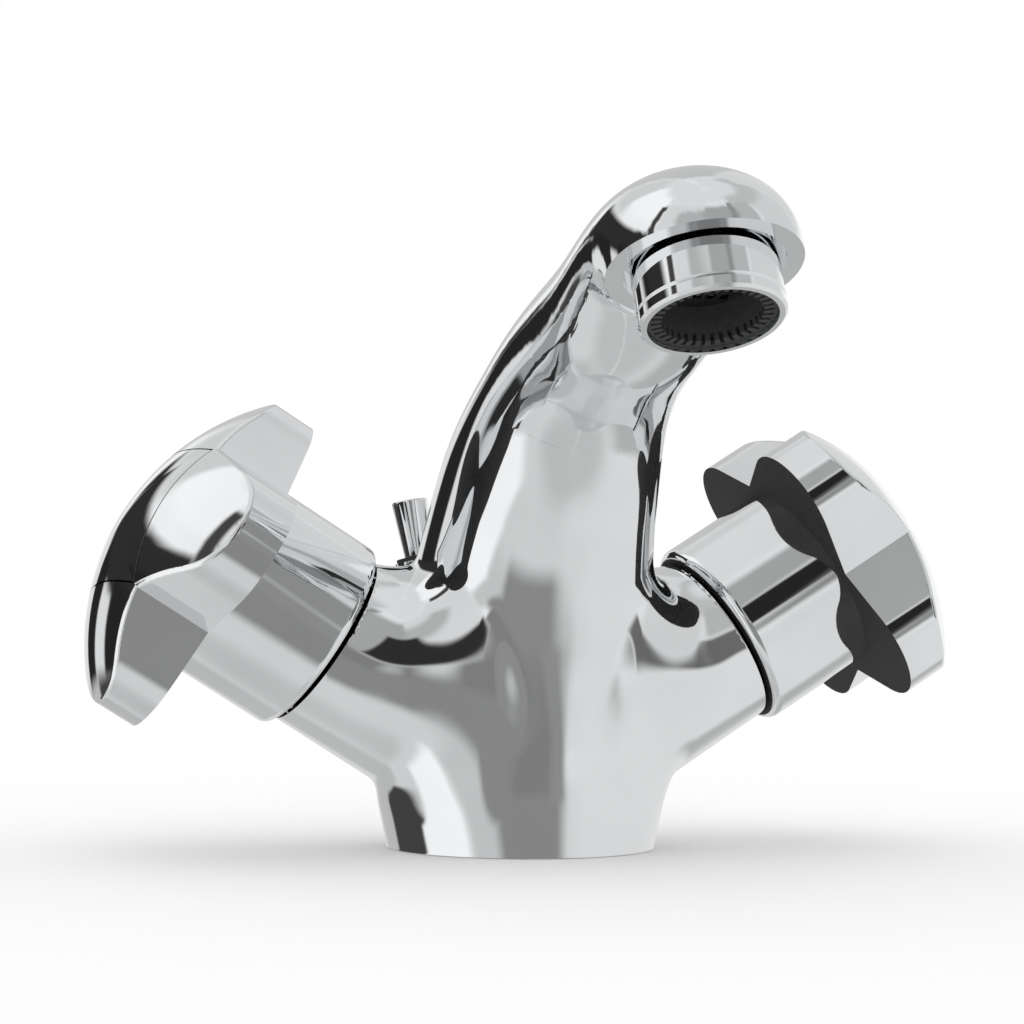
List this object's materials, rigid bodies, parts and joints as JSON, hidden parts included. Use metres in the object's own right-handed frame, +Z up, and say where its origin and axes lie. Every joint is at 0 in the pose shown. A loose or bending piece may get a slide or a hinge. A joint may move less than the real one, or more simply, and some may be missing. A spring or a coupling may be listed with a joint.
{
  "type": "basin mixer tap",
  "caption": "Deck basin mixer with an arched spout, star handles on slanting side arms and a pop-up waste rod.",
  "frame": {"origin": "centre of the round foot's underside, on the basin's tap ledge", "axes": "+Z up out of the basin ledge, the spout reaches towards -Y (the person washing), +X to that person's right"},
  "size_m": [0.1703, 0.1449, 0.1216],
  "materials": {
    "polished_chrome": "polished chrome plate",
    "raw_brass": "machined brass",
    "rod_steel": "drawn stainless steel",
    "steel_mesh": "woven stainless steel",
    "grey_plastic": "moulded acetal",
    "black_rubber": "moulded rubber",
    "white_disc": "lapped ceramic"
  },
  "bodies": {
    "body": {"body_casting": "polished_chrome", "base_seal": "black_rubber", "aerator_housing": "polished_chrome", "aerator_insert": "grey_plastic", "aerator_mesh": "steel_mesh", "aerator_washer": "black_rubber", "rod_bush": "grey_plastic", "left_seat_seal": "black_rubber", "left_fixed_disc": "white_disc", "left_headwork_housing": "raw_brass", "left_headwork_gasket": "black_rubber", "right_seat_seal": "black_rubber", "right_fixed_disc": "white_disc", "right_headwork_housing": "raw_brass", "right_headwork_gasket": "black_rubber"},
    "left_handle_group": {"left_handle": "polished_chrome", "left_handle_cap": "polished_chrome", "left_handle_screw": "rod_steel", "left_spindle": "raw_brass", "left_moving_disc": "white_disc", "left_spindle_o_ring": "black_rubber", "left_retaining_clip": "rod_steel"},
    "right_handle_group": {"right_handle": "polished_chrome", "right_handle_cap": "polished_chrome", "right_handle_screw": "rod_steel", "right_spindle": "raw_brass", "right_moving_disc": "white_disc", "right_spindle_o_ring": "black_rubber", "right_retaining_clip": "rod_steel"},
    "lift_rod_group": {"lift_rod": "rod_steel", "lift_knob": "polished_chrome"}
  },
  "joints": [
    {"name": "hot_handle_turn", "type": "hinge", "parent": "body", "child": "left_handle_group", "pos_m": [0, 0, 0.01524], "axis": [-0.848, 0, 0.5299], "range_deg": [0, 180]},
    {"name": "cold_handle_turn", "type": "hinge", "parent": "body", "child": "right_handle_group", "pos_m": [0, 0, 0.01524], "axis": [0.848, 0, 0.5299], "range_deg": [-180, 0]},
    {"name": "waste_rod_lift", "type": "slide", "parent": "body", "child": "lift_rod_group", "axis": [-0.139, 0.1282, 0.982], "range_m": [0, 0.012]}
  ]
}
